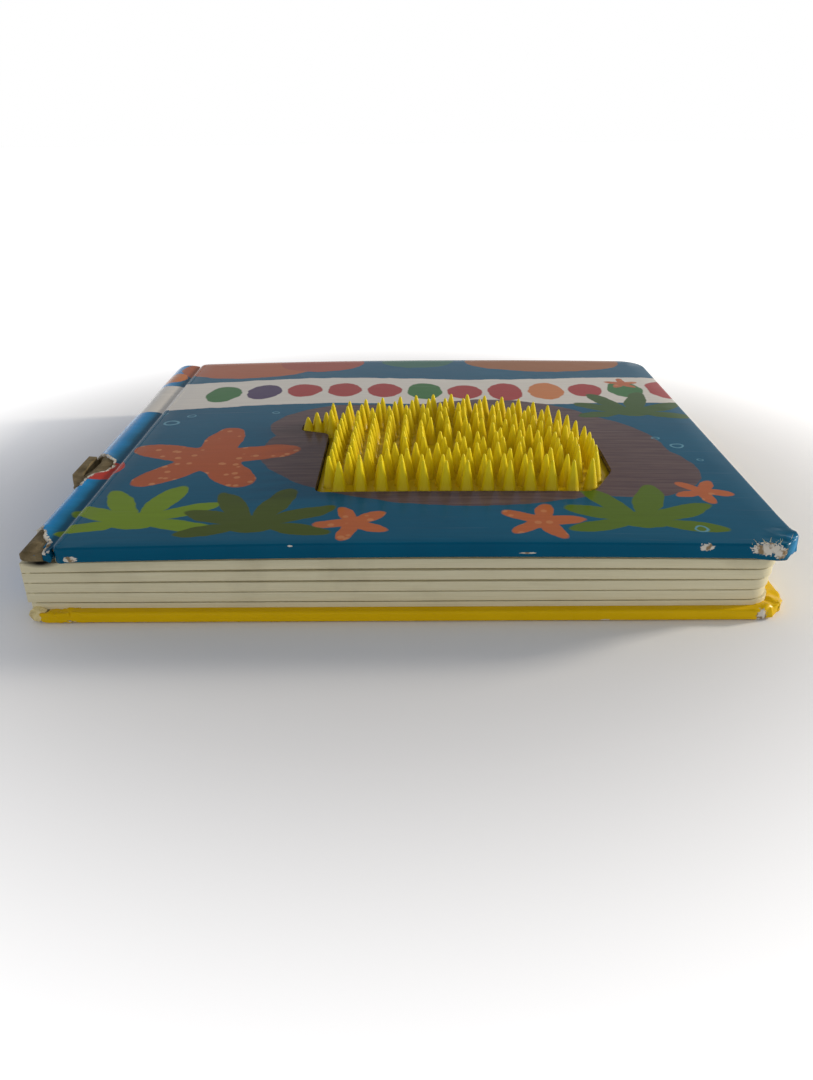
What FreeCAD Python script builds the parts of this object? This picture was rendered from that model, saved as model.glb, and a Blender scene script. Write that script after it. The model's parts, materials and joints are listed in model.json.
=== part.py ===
import FreeCAD, Part
import math
import os

V = FreeCAD.Vector

# A case-bound touch-and-feel board book, closed and lying on its back cover.
# Frame in mm: X from the spine (minus) to the fore-edge (plus), Y from the tail (minus)
# to the head (plus), Z up, origin at the bottom centre of the closed book.

# Closed book
BOOK_W = 228.0
BOOK_H = 200.0
FORE_CORNER_R = 11.0
HINGE_CORNER_R = 3.0

# Pages stand back from the covers
SQUARE_END = 3.0
SQUARE_FORE = 4.5
PAGE_CORNER_R = 7.5
LEAF_FOLD_R = 0.5
LINER_HINGE_R = 1.0

# Layers, from the table up
PAPER_T = 0.35
BACK_BOARD_T = 2.3
BACK_LINER_T = 2.1
BACK_GAP = 0.3
LEAF_T = 3.05
LEAF_GAP = 0.25
FRONT_GAP = 0.6
FRONT_LINER_T = 1.6
FRONT_BOARD_T = 3.3
TURN_IN = 14.0

# The covers and the upper leaves have bowed: rise in the middle of each layer
COVER_BOW = 1.3
LEAF_BOWS = (0.0, 0.05, 0.45, 0.95)
LEAF_FORE_SHIFTS = (0.3, -0.2, 0.1, -0.3)

# Spine and hinge grooves
SHOULDER_W = 13.6
GROOVE_HALF = 1.5
GROOVE_DEPTH = 1.3
HINGE_CLEAR = 0.15
CROWN_DROP = 0.6
FOOT_LIFT = 0.4
SPINE_BOARD_T = 3.0
SPINE_ROUND = 5.5
SPINE_END_R = 3.5
CROWN_INSET = 5.7
EDGE_R = 0.2
FOLD_T = 1.6
FOLD_INSET = 4.5
STUB_CLEAR = 0.5

# Window in the front cover, and the soft touch patch that fills it
WINDOW = ((-28.0, -62.8, 3.0), (62.0, -62.8, 6.0), (70.8, -45.0, 10.0), (70.8, -22.0, 25.0),
          (62.0, 1.0, 18.0), (46.0, 14.5, 14.0), (20.0, 22.5, 40.0), (-13.0, 15.0, 30.0),
          (-39.0, 5.5, 4.0), (-39.0, -2.5, 2.0), (-28.0, -6.5, 4.0))
PATCH_CLEAR = 0.5
PATCH_RECESS = 1.5
FLANGE_T = 1.2
FLANGE_LAP = 5.0

# Spikes stand in rings that follow the outline of their field
FIELD = ((-23.5, -59.7, 3.0), (60.5, -59.7, 4.0), (65.0, -48.0, 20.0), (65.0, -26.0, 20.0),
         (57.0, 0.5, 15.0), (44.0, 11.5, 12.0), (20.0, 19.0, 40.0), (-12.0, 12.0, 30.0),
         (-35.5, 2.5, 2.5), (-35.5, -1.5, 1.5), (-22.5, -3.5, 4.0))
SPIKE_PITCH = 6.8
SPIKE_ROW = 5.9
SPIKE_SIDES = 10
SPIKE_R = 2.3
SPIKE_WAIST_R = 1.15
SPIKE_WAIST = 0.62
SPIKE_ROOT = 0.4
SPIKE_TAIL_H = 9.5
SPIKE_HEAD_H = 7.8

# Wear: where the printed paper is torn off the spine and where the board is broken away
MID_TEAR = ((-115.0, -20.0), (-110.4, -20.6), (-103.2, -28.0), (-101.6, -34.0), (-103.1, -38.8),
            (-106.0, -40.6), (-107.3, -46.2), (-107.5, -52.0), (-115.0, -54.0))
TAIL_TEAR = ((-115.0, -81.8), (-109.2, -81.8), (-106.3, -86.0), (-104.0, -90.5), (-101.8, -93.0),
             (-101.2, -101.0), (-115.0, -101.0))
FOOT_TEAR = ((-115.0, -84.0), (-108.5, -86.0), (-105.5, -91.0), (-104.4, -101.0), (-115.0, -101.0))
BOARD_HOLE = ((-110.6, -22.6), (-108.6, -23.4), (-107.4, -30.0), (-108.2, -38.0), (-110.4, -39.2),
              (-111.2, -30.0))
SPINE_BREAK = ((-115.0, -42.0), (-112.6, -42.4), (-111.6, -47.0), (-110.0, -49.0), (-109.6, -51.0),
               (-115.0, -51.0))
BOARD_STUMP = ((-114.0, -23.0), (-113.9, -40.5), (-112.2, -45.0), (-110.0, -49.5), (-108.7, -51.6), (-108.2, -49.5),
               (-108.4, -44.0), (-110.4, -39.8), (-111.4, -30.0), (-111.0, -23.5))
STUMP_DROP = 1.2
BREAK_Y = -50.0
NEAR_SPINE_INSET = 4.0
STUB_TORN = 12.0
TEAR_DEPTH = 9.0

# Places that follow from the sizes
SPINE_X = -BOOK_W / 2
FORE_X = BOOK_W / 2
TAIL_Y = -BOOK_H / 2
HEAD_Y = BOOK_H / 2
HINGE_X = SPINE_X + SHOULDER_W
FOLD_X = SPINE_X + FOLD_INSET
NEAR_SPINE_X = SPINE_X + NEAR_SPINE_INSET
PAGE_FORE_X = FORE_X - SQUARE_FORE
BACK_TOP = BACK_BOARD_T + 2 * PAPER_T
BACK_LINER_TOP = BACK_TOP + BACK_LINER_T
BLOCK_BOTTOM = BACK_LINER_TOP + BACK_GAP
BLOCK_TOP = BLOCK_BOTTOM + len(LEAF_BOWS) * LEAF_T + (len(LEAF_BOWS) - 1) * LEAF_GAP
FRONT_LINER_BOTTOM = BLOCK_TOP + FRONT_GAP
FRONT_BOTTOM = FRONT_LINER_BOTTOM + FRONT_LINER_T
FRONT_BOARD_BOTTOM = FRONT_BOTTOM + PAPER_T
FRONT_BOARD_TOP = FRONT_BOARD_BOTTOM + FRONT_BOARD_T
BOOK_TOP = FRONT_BOARD_TOP + PAPER_T
PATCH_TOP = BOOK_TOP - PATCH_RECESS
FLANGE_BOTTOM = FRONT_BOARD_BOTTOM - FLANGE_T


def rounded_wire(corners):
    """Closed wire in plan through (x, y, radius) corners: straight runs joined by tangent arcs."""
    starts, middles, ends = [], [], []
    count = len(corners)
    for i, (x, y, radius) in enumerate(corners):
        here = V(x, y, 0)
        back = (V(corners[i - 1][0], corners[i - 1][1], 0) - here).normalize()
        ahead_x, ahead_y = corners[(i + 1) % count][:2]
        ahead = (V(ahead_x, ahead_y, 0) - here).normalize()
        half = back.getAngle(ahead) / 2
        reach = radius / math.tan(half)
        starts.append(here + back * reach)
        ends.append(here + ahead * reach)
        middles.append(here + (back + ahead).normalize() * (radius / math.sin(half) - radius))
    edges = []
    for i in range(count):
        edges.append(Part.LineSegment(ends[i - 1], starts[i]).toShape())
        edges.append(Part.Arc(starts[i], middles[i], ends[i]).toShape())
    return Part.Wire(edges)


def board_wire(x0, x1, y0, y1, hinge_r, fore_r):
    """Outline of a board or a leaf, with one corner radius at the spine side and one at the fore-edge."""
    return rounded_wire(((x0, y0, hinge_r), (x1, y0, fore_r), (x1, y1, fore_r), (x0, y1, hinge_r)))


def prism(wire, z0, z1):
    """Upright solid on a plan outline."""
    face = Part.Face(wire)
    face.translate(V(0, 0, z0))
    return face.extrude(V(0, 0, z1 - z0))


def polygon_prism(points, z0, z1):
    """Upright solid on a plain polygon, for torn edges."""
    return prism(Part.makePolygon([V(x, y, 0) for x, y in points + points[:1]]), z0, z1)


def box(x0, x1, y0, y1, z0, z1):
    return Part.makeBox(x1 - x0, y1 - y0, z1 - z0, V(x0, y0, z0))


def bowed_slab(x0, x1, z_low, z_high, rise):
    """Layer across the whole book whose two faces are one arc, rising in the middle."""
    if rise == 0:
        return box(x0, x1, TAIL_Y, HEAD_Y, z_low, z_high)
    middle = (x0 + x1) / 2
    low = Part.Arc(V(x0, TAIL_Y, z_low), V(middle, TAIL_Y, z_low + rise), V(x1, TAIL_Y, z_low))
    high = Part.Arc(V(x0, TAIL_Y, z_high), V(middle, TAIL_Y, z_high + rise), V(x1, TAIL_Y, z_high))
    left = Part.LineSegment(V(x0, TAIL_Y, z_low), V(x0, TAIL_Y, z_high))
    right = Part.LineSegment(V(x1, TAIL_Y, z_low), V(x1, TAIL_Y, z_high))
    wire = Part.Wire(Part.__sortEdges__([e.toShape() for e in (low, right, high, left)]))
    return Part.Face(wire).extrude(V(0, BOOK_H, 0))


def cover_slab(z_low, z_high, bow):
    return bowed_slab(HINGE_X, FORE_X, z_low, z_high, bow)


def cover_rise(x):
    """Height that the bow adds to the front cover at x."""
    share = (x - HINGE_X) / (FORE_X - HINGE_X)
    return 4 * COVER_BOW * share * (1 - share)


def panel_wire(inset):
    """Outline of a cover panel: inset 0 is its paper, PAPER_T its board."""
    return board_wire(HINGE_X + GROOVE_HALF - PAPER_T + inset, FORE_X - inset, TAIL_Y + inset, HEAD_Y - inset,
                      max(HINGE_CORNER_R - inset, EDGE_R), max(FORE_CORNER_R - inset, EDGE_R))


def liner_wire():
    """Outline of the sheet pasted inside a cover, as large as a page."""
    return board_wire(HINGE_X + STUB_CLEAR, PAGE_FORE_X, TAIL_Y + SQUARE_END, HEAD_Y - SQUARE_END,
                      LINER_HINGE_R, PAGE_CORNER_R)


def window_wire(growth):
    """Outline of the window, grown or shrunk all round."""
    wire = rounded_wire(WINDOW)
    if growth == 0:
        return wire
    return wire.makeOffset2D(growth)


def panel_board(bottom, thickness, bow):
    """Greyboard of one cover."""
    return cover_slab(bottom, bottom + thickness, bow).common(prism(panel_wire(PAPER_T), 0, 2 * BOOK_TOP))


def panel_paper(board_bottom, board_top, inner_low, inner_high, bow):
    """Printed paper round one cover board: its outer sheet, its edges and the turned-in margin."""
    outer = cover_slab(board_bottom - PAPER_T, board_top + PAPER_T, bow)
    outer = outer.common(prism(panel_wire(0), -1, 2 * BOOK_TOP))
    paper = outer.cut(cover_slab(board_bottom, board_top, bow).common(prism(panel_wire(PAPER_T), 0, 2 * BOOK_TOP)))
    inside = cover_slab(inner_low, inner_high, bow).common(prism(panel_wire(TURN_IN), -1, 2 * BOOK_TOP))
    return paper.cut(inside)


def hinge_flap(z_low):
    """Panel's half of the paper that crosses the groove."""
    return box(HINGE_X + HINGE_CLEAR, HINGE_X + GROOVE_HALF - PAPER_T, TAIL_Y + HINGE_CORNER_R,
               HEAD_Y - HINGE_CORNER_R, z_low, z_low + PAPER_T)


def shoulder_arc(crown, end):
    """Arc that leaves the crown of a shoulder level and ends at a lower or outer point."""
    across, rise = end.x - crown.x, end.z - crown.z
    radius = (across ** 2 + rise ** 2) / (2 * abs(rise))
    half = math.asin(abs(across) / radius) / 2
    middle = V(crown.x + math.copysign(radius * math.sin(half), across), crown.y,
               crown.z + math.copysign(radius * (1 - math.cos(half)), rise))
    return Part.Arc(crown, middle, end).toShape()


def spine_profile(x_out):
    """Closed outline of the spine's outside, across the book, with a rounded shoulder at each groove."""
    crown_x = HINGE_X - CROWN_INSET
    lip_x = HINGE_X - HINGE_CLEAR
    top, foot = BOOK_TOP - CROWN_DROP, FOOT_LIFT

    def point(x, z):
        return V(x, TAIL_Y, z)

    edges = [
        shoulder_arc(point(crown_x, top), point(lip_x, BOOK_TOP - GROOVE_DEPTH)),
        shoulder_arc(point(crown_x, top), point(x_out, top - SPINE_ROUND)),
        Part.LineSegment(point(x_out, top - SPINE_ROUND), point(x_out, foot + SPINE_ROUND)).toShape(),
        shoulder_arc(point(crown_x, foot), point(x_out, foot + SPINE_ROUND)),
        shoulder_arc(point(crown_x, foot), point(lip_x, GROOVE_DEPTH)),
        Part.LineSegment(point(lip_x, GROOVE_DEPTH), point(lip_x, BOOK_TOP - GROOVE_DEPTH)).toShape()]
    return Part.Wire(Part.__sortEdges__(edges))


def spine_stretch(x_out, inset, y_low, y_high, low_r, high_r):
    """Spine outline, drawn in by inset, along one stretch of the book, with its end corners rounded in plan."""
    wire = spine_profile(x_out)
    if inset:
        wire = wire.makeOffset2D(-inset)
    run = Part.Face(wire).extrude(V(0, BOOK_H, 0))
    inner_x = HINGE_X + GROOVE_HALF
    ends = rounded_wire(((x_out + inset, y_low, low_r), (inner_x, y_low, EDGE_R),
                         (inner_x, y_high, EDGE_R), (x_out + inset, y_high, high_r)))
    return run.common(prism(ends, -1, 2 * BOOK_TOP))


def spine_run(inset):
    """Whole spine, drawn in by inset: narrower where its back has broken away at the tail."""
    far = spine_stretch(SPINE_X, inset, BREAK_Y, HEAD_Y - inset, EDGE_R, SPINE_END_R)
    near = spine_stretch(NEAR_SPINE_X, inset, TAIL_Y + inset, BREAK_Y + EDGE_R, SPINE_END_R, EDGE_R)
    return far.fuse(near).removeSplitter()


def spine_hollow():
    """Room inside the spine for the folds of the pages, open to the left where the back has broken away."""
    far = box(SPINE_X + PAPER_T + SPINE_BOARD_T, HINGE_X + GROOVE_HALF, BREAK_Y, HEAD_Y + 1,
              BACK_TOP, FRONT_BOTTOM)
    near = box(SPINE_X, HINGE_X + GROOVE_HALF, TAIL_Y - 1, BREAK_Y, BACK_TOP, FRONT_BOTTOM)
    return far.fuse(near)


def spine_board():
    """Greyboard of the spine: a shoulder over and under the folds, and a back that is broken off at the tail."""
    groove = box(HINGE_X - GROOVE_HALF, HINGE_X + GROOVE_HALF, TAIL_Y - 1, HEAD_Y + 1, -1, BOOK_TOP + 1)
    hole = polygon_prism(BOARD_HOLE, FRONT_BOTTOM - 1, BOOK_TOP + 1)
    broken = polygon_prism(SPINE_BREAK, -1, BOOK_TOP + 1)
    stump = polygon_prism(BOARD_STUMP, BOOK_TOP - TEAR_DEPTH, BOOK_TOP - STUMP_DROP).cut(spine_hollow())
    board = spine_run(PAPER_T).cut(spine_hollow()).cut(groove).cut(hole).cut(broken)
    return board.fuse(stump).removeSplitter()


def spine_wrap():
    """Printed paper over the spine, open where it is torn away."""
    paper = spine_run(0).cut(spine_run(PAPER_T)).cut(spine_hollow())
    open_edge = box(HINGE_X - GROOVE_HALF, HINGE_X + GROOVE_HALF, TAIL_Y - 1, HEAD_Y + 1,
                    GROOVE_DEPTH + PAPER_T, BOOK_TOP - GROOVE_DEPTH - PAPER_T)
    paper = paper.cut(open_edge).cut(polygon_prism(SPINE_BREAK, -1, BOOK_TOP + 1))
    paper = paper.cut(polygon_prism(MID_TEAR, BOOK_TOP - TEAR_DEPTH, BOOK_TOP + 1))
    paper = paper.cut(polygon_prism(TAIL_TEAR, BOOK_TOP - TEAR_DEPTH, BOOK_TOP + 1))
    return paper.cut(polygon_prism(FOOT_TEAR, -1, TEAR_DEPTH))


def page_block():
    """Leaves, joined at the spine by the folds of their sheets; the outer folds run on to the liners."""
    block = box(FOLD_X, FOLD_X + FOLD_T, TAIL_Y + SQUARE_END, HEAD_Y - SQUARE_END, BACK_TOP, FRONT_BOTTOM)
    bottom = BLOCK_BOTTOM
    for bow, shift in zip(LEAF_BOWS, LEAF_FORE_SHIFTS):
        outline = board_wire(FOLD_X, PAGE_FORE_X + shift, TAIL_Y + SQUARE_END, HEAD_Y - SQUARE_END,
                             LEAF_FOLD_R, PAGE_CORNER_R)
        leaf = bowed_slab(FOLD_X, FORE_X, bottom, bottom + LEAF_T, bow)
        block = block.fuse(leaf.common(prism(outline, 0, 2 * BOOK_TOP)))
        bottom += LEAF_T + LEAF_GAP
    stub_end = HINGE_X - STUB_CLEAR
    foot = box(FOLD_X, stub_end, TAIL_Y + SQUARE_END, HEAD_Y - SQUARE_END, BACK_TOP, BACK_LINER_TOP)
    head = box(FOLD_X, stub_end, TAIL_Y + STUB_TORN, HEAD_Y - SQUARE_END, FRONT_LINER_BOTTOM, FRONT_BOTTOM)
    return block.fuse(foot).fuse(head).removeSplitter()


def front_board():
    board = panel_board(FRONT_BOARD_BOTTOM, FRONT_BOARD_T, COVER_BOW)
    return board.cut(prism(window_wire(0), 0, 2 * BOOK_TOP))


def front_wrap():
    paper = panel_paper(FRONT_BOARD_BOTTOM, FRONT_BOARD_TOP, FRONT_BOTTOM, FRONT_BOARD_BOTTOM, COVER_BOW)
    paper = paper.fuse(hinge_flap(BOOK_TOP - GROOVE_DEPTH - PAPER_T)).removeSplitter()
    return paper.cut(prism(window_wire(0), 0, 2 * BOOK_TOP))


def front_liner():
    """Sheet pasted inside the front cover, with a pocket for the patch's flange."""
    sheet = cover_slab(FRONT_LINER_BOTTOM, FRONT_BOTTOM, COVER_BOW).common(prism(liner_wire(), 0, 2 * BOOK_TOP))
    pocket = cover_slab(FLANGE_BOTTOM, BOOK_TOP, COVER_BOW).common(prism(window_wire(FLANGE_LAP), 0, 2 * BOOK_TOP))
    return sheet.cut(pocket)


def back_board():
    return panel_board(PAPER_T, BACK_BOARD_T, 0)


def back_wrap():
    paper = panel_paper(PAPER_T, PAPER_T + BACK_BOARD_T, BACK_TOP - PAPER_T, BACK_TOP, 0)
    return paper.fuse(hinge_flap(GROOVE_DEPTH)).removeSplitter()


def back_liner():
    return prism(liner_wire(), BACK_TOP, BACK_LINER_TOP)


def narrow_side(wire):
    return min(wire.BoundBox.XLength, wire.BoundBox.YLength)


def ring_places(wire, shifted):
    """Spike axes along one ring, moved by half a pitch where shifted; a ring closed up to a line gets one row."""
    bounds = wire.BoundBox
    if narrow_side(wire) < SPIKE_PITCH:
        count = max(1, round(bounds.XLength / SPIKE_PITCH))
        return [(bounds.XMin + (k + 0.5) * bounds.XLength / count, bounds.Center.y) for k in range(count)]
    count = round(wire.Length / SPIKE_PITCH)
    points = wire.discretize(2 * count + 1)[:-1]
    return [(p.x, p.y) for p in points[shifted::2]]


def spike_places():
    """Spike axes: rings that run inside one another from the outline of the field to its middle."""
    places = []
    wires = [rounded_wire(FIELD)]
    shifted = 0
    while wires:
        for wire in wires:
            places += ring_places(wire, shifted)
        wide = [wire for wire in wires if narrow_side(wire) > 2 * SPIKE_ROW + EDGE_R]
        wires = [inner for wire in wide for inner in wire.makeOffset2D(-SPIKE_ROW).Wires]
        shifted = 1 - shifted
    return places


def spike_ring(x, y, z, radius):
    """Level ring of one spike, with SPIKE_SIDES sides."""
    turn = 2 * math.pi / SPIKE_SIDES
    points = [V(x + radius * math.cos(k * turn), y + radius * math.sin(k * turn), z) for k in range(SPIKE_SIDES)]
    return Part.makePolygon(points + points[:1])


def spike(x, y):
    """One spike, rooted in the patch: it narrows slowly to its waist and then quickly to its tip."""
    head_y = max(corner[1] for corner in FIELD)
    share = (y - FIELD[0][1]) / (head_y - FIELD[0][1])
    root = PATCH_TOP + cover_rise(x) - SPIKE_ROOT
    tip = BOOK_TOP + cover_rise(x) + SPIKE_TAIL_H + share * (SPIKE_HEAD_H - SPIKE_TAIL_H)
    waist = root + SPIKE_WAIST * (tip - root)
    rings = [spike_ring(x, y, root, SPIKE_R), spike_ring(x, y, waist, SPIKE_WAIST_R)]
    return Part.makeLoft(rings + [Part.Vertex(x, y, tip)], True, True)


def touch_patch():
    """Soft patch moulded in one piece: flange under the board, raised floor and spikes."""
    flange = cover_slab(FLANGE_BOTTOM, FRONT_BOARD_BOTTOM, COVER_BOW)
    flange = flange.common(prism(window_wire(FLANGE_LAP - PATCH_CLEAR), 0, 2 * BOOK_TOP))
    floor = cover_slab(FLANGE_BOTTOM, PATCH_TOP, COVER_BOW)
    floor = floor.common(prism(window_wire(-PATCH_CLEAR), 0, 2 * BOOK_TOP))
    base = flange.fuse(floor).removeSplitter()
    return base.fuse([spike(x, y) for x, y in spike_places()])


PIECES = {
    "back_board": back_board,
    "back_wrap": back_wrap,
    "back_liner": back_liner,
    "page_block": page_block,
    "spine_board": spine_board,
    "spine_wrap": spine_wrap,
    "front_board": front_board,
    "front_wrap": front_wrap,
    "front_liner": front_liner,
    "touch_patch": touch_patch,
}

os.makedirs("parts", exist_ok=True)
for node, make in PIECES.items():
    shape = make()
    shape.exportStep("parts/" + node + ".step")
    print(node, len(shape.Solids), "solid", round(shape.Volume / 1000, 2), "cm3", shape.isValid(),
          shape.BoundBox)
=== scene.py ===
# %% [markdown]
# # A board book with a soft spiky window
# A board book is made of thick laminated leaves between two greyboard covers. One printed and
# laminated sheet is glued round both covers and the spine. This one has a window die-cut in its
# front cover, with a yellow silicone patch moulded in one piece behind it, and its spine is torn.
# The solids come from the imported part, in metres, and every piece below is made round them.

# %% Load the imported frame
import json
import math
import random

import bmesh
import bpy
from mathutils import Matrix, Vector, noise

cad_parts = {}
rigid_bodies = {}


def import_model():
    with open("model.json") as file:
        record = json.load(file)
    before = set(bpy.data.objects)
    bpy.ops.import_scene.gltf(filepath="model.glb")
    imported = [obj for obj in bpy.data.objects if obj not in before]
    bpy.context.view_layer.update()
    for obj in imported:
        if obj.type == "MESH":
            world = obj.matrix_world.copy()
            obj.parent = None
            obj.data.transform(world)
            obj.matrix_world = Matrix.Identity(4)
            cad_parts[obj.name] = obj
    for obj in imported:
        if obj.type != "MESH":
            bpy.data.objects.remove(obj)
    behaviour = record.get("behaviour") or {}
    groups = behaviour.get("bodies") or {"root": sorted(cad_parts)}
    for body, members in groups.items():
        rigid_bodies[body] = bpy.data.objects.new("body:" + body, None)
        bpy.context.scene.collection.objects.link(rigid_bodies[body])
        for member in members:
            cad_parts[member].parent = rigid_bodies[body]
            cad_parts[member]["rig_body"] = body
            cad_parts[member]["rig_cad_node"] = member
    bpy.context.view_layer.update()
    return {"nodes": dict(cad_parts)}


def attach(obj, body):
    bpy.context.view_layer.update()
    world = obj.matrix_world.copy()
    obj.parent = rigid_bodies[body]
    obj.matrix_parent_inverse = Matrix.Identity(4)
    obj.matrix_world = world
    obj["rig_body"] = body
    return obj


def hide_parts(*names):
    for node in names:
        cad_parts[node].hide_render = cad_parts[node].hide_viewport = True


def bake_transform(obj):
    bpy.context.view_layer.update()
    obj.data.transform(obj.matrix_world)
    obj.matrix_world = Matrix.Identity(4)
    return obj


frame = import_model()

MM = 0.001

# %% [markdown]
# ## Camera
# The photograph was taken by hand with a phone, low in front of the tail of the book. A camera
# could be aimed by eye, but its place and lens were worked out from the corners of the cover,
# so that every edge of the render can be laid over the photograph.

# %% Aim the camera
LENS_MM = 28.79
turn = (Matrix.Rotation(math.radians(0.6), 3, "Z") @ Matrix.Rotation(math.radians(63.63), 3, "X")
        @ Matrix.Rotation(math.radians(-0.57), 3, "Z"))
bpy.ops.object.camera_add(location=(0.0041, -0.317, 0.1345), rotation=turn.to_euler())
camera = bpy.context.object
camera.name = "camera"
camera.data.lens = LENS_MM
camera.data.sensor_width = 36
camera.data.clip_start = 0.01
bpy.context.scene.camera = camera
print("camera", [round(x, 4) for x in camera.location], "lens", LENS_MM)

# %% [markdown]
# ## Studio
# The book lies on a pale table in daylight that comes low from the right and a little from
# behind, so its tail edge, which faces the camera, is in open shade. One small square lamp is
# the window of the room, and a dim world, brighter near the horizon, fills the shade. The camera,
# reflections and clear things see another world, white at the horizon and greyer above it. It is
# a background and gives no light to the book.

# %% One function for every shader node
def add_node(tree, kind, sockets=None, **settings):
    """Adds a node, sets its properties, and sets or links its inputs."""
    made = tree.nodes.new(kind)
    for name, value in settings.items():
        setattr(made, name, value)
    for socket, value in (sockets or {}).items():
        if isinstance(value, bpy.types.NodeSocket):
            tree.links.new(value, made.inputs[socket])
        else:
            made.inputs[socket].default_value = value
    return made


def linear(code):
    """A colour written as sRGB hex, as the linear red, green, blue and alpha that Blender counts in."""
    parts = [int(code[i:i + 2], 16) / 255 for i in (1, 3, 5)]
    return [p / 12.92 if p <= 0.04045 else ((p + 0.055) / 1.055) ** 2.4 for p in parts] + [1]


def new_material(name):
    """An empty node material with its shader and output joined."""
    material = bpy.data.materials.new(name)
    material.use_nodes = True
    tree = material.node_tree
    tree.nodes.clear()
    shader = add_node(tree, "ShaderNodeBsdfPrincipled")
    add_node(tree, "ShaderNodeOutputMaterial", {"Surface": shader.outputs[0]})
    return material, tree, shader


# %% World, lamp and table
scene = bpy.context.scene
scene.view_settings.view_transform = "Standard"

world = bpy.data.worlds.new("pale_room")
scene.world = world
world.use_nodes = True
room = world.node_tree
room.nodes.clear()


def seen_directly(tree):
    """1 for what the camera, reflections and clear things see, 0 for light that falls on things."""
    ray = add_node(tree, "ShaderNodeLightPath")
    seen = ray.outputs["Is Camera Ray"]
    for kind in ("Is Glossy Ray", "Is Transmission Ray"):
        seen = add_node(tree, "ShaderNodeMath", {0: seen, 1: ray.outputs[kind]}, operation="MAXIMUM").outputs[0]
    return seen


height = add_node(room, "ShaderNodeSeparateXYZ", {0: add_node(room, "ShaderNodeTexCoord").outputs["Generated"]})
dimmer_above = add_node(room, "ShaderNodeMapRange", {"Value": height.outputs["Z"], "From Min": 0.0,
                                                     "From Max": 0.8, "To Min": 0.95, "To Max": 0.3})
white_horizon = add_node(room, "ShaderNodeMapRange", {"Value": height.outputs["Z"], "From Min": 0.14,
                                                      "From Max": 0.3, "To Min": 1.0, "To Max": 0.4})
fill_light = add_node(room, "ShaderNodeBackground", {"Color": linear("#F4F7FF"),
                                                     "Strength": dimmer_above.outputs[0]})
backdrop = add_node(room, "ShaderNodeBackground", {"Color": (1, 1, 1, 1), "Strength": white_horizon.outputs[0]})
chosen = add_node(room, "ShaderNodeMixShader", {0: seen_directly(room), 1: fill_light.outputs[0],
                                                2: backdrop.outputs[0]})
add_node(room, "ShaderNodeOutputWorld", {"Surface": chosen.outputs[0]})

LAMP_PLACE = Vector((1.36, 0.3, 0.42))
bpy.ops.object.light_add(type="AREA", location=LAMP_PLACE,
                         rotation=(-LAMP_PLACE).to_track_quat("-Z", "Y").to_euler())
lamp = bpy.context.object
lamp.name = "window_light"
lamp.data.size = 0.2
lamp.data.energy = 17
lamp.data.color = linear("#FFF4E2")[:3]

# The table turns plain white away from the book, where the book's shadow no longer reaches.
bpy.ops.mesh.primitive_plane_add(size=8, location=(0, 0, -0.0002))
table = bpy.context.object
table.name = "table"
white, tree, shader = new_material("matt_white_table")
shader.inputs["Base Color"].default_value = linear("#F2F2F2")
shader.inputs["Roughness"].default_value = 0.85
shader.inputs["Specular IOR Level"].default_value = 0.1
place = add_node(tree, "ShaderNodeTexCoord").outputs["Object"]
away = add_node(tree, "ShaderNodeVectorMath", {0: place}, operation="LENGTH")
far = add_node(tree, "ShaderNodeMapRange", {"Value": away.outputs["Value"], "From Min": 0.12, "From Max": 0.34},
               interpolation_type="SMOOTHSTEP")
glow = add_node(tree, "ShaderNodeMath", {0: far.outputs[0], 1: seen_directly(tree)}, operation="MULTIPLY")
shader.inputs["Emission Color"].default_value = (1, 1, 1, 1)
tree.links.new(glow.outputs[0], shader.inputs["Emission Strength"])
table.data.materials.append(white)
print("lamp", round(LAMP_PLACE.length, 2), "m away,", lamp.data.energy, "W")

# %% [markdown]
# ## The spiky patch
# The patch is soft silicone, moulded in one piece: a flange glued under the cover board, a floor
# that fills the window, and a field of spikes. A spike could be a cone, but the moulded ones are
# fuller than a cone, so a ring is pushed up in steps and drawn in a little more at each one. It
# is modelled once, with few faces, and copied to the places where the solid part has its tips.

# %% Helpers for working in edit mode
def begin(obj):
    """Makes obj the one selected object and opens it for editing."""
    bpy.ops.object.select_all(action="DESELECT")
    obj.select_set(True)
    bpy.context.view_layer.objects.active = obj
    bpy.ops.object.mode_set(mode="EDIT")


def end():
    bpy.ops.object.mode_set(mode="OBJECT")


def pick(obj, kind, wanted):
    """In edit mode, selects the vertices, edges or faces that wanted() is true for, and no others."""
    bpy.ops.mesh.select_mode(type=kind)
    bpy.ops.mesh.select_all(action="DESELECT")
    mesh = bmesh.from_edit_mesh(obj.data)
    found = [p for p in {"VERT": mesh.verts, "EDGE": mesh.edges, "FACE": mesh.faces}[kind] if wanted(p)]
    for part in found:
        part.select_set(True)
    mesh.select_flush_mode()
    bmesh.update_edit_mesh(obj.data)
    return len(found)


def middle(part):
    """Middle of a bmesh edge or face, in millimetres."""
    return sum((v.co for v in part.verts), Vector()) / len(part.verts) / MM


def merged_copy(node, name):
    """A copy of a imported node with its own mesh, its loose triangles joined."""
    piece = frame["nodes"][node].copy()
    piece.data = frame["nodes"][node].data.copy()
    piece.name = name
    piece.parent = None
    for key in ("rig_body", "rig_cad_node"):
        del piece[key]
    piece.data.materials.clear()
    bpy.context.scene.collection.objects.link(piece)
    begin(piece)
    bpy.ops.mesh.select_all(action="SELECT")
    bpy.ops.mesh.remove_doubles(threshold=0.002 * MM)
    end()
    return piece


def join(pieces, name):
    """Several meshes as one piece."""
    bpy.ops.object.select_all(action="DESELECT")
    for piece in pieces:
        piece.select_set(True)
    bpy.context.view_layer.objects.active = pieces[0]
    if len(pieces) > 1:
        bpy.ops.object.join()
    pieces[0].name = name
    return pieces[0]


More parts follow.
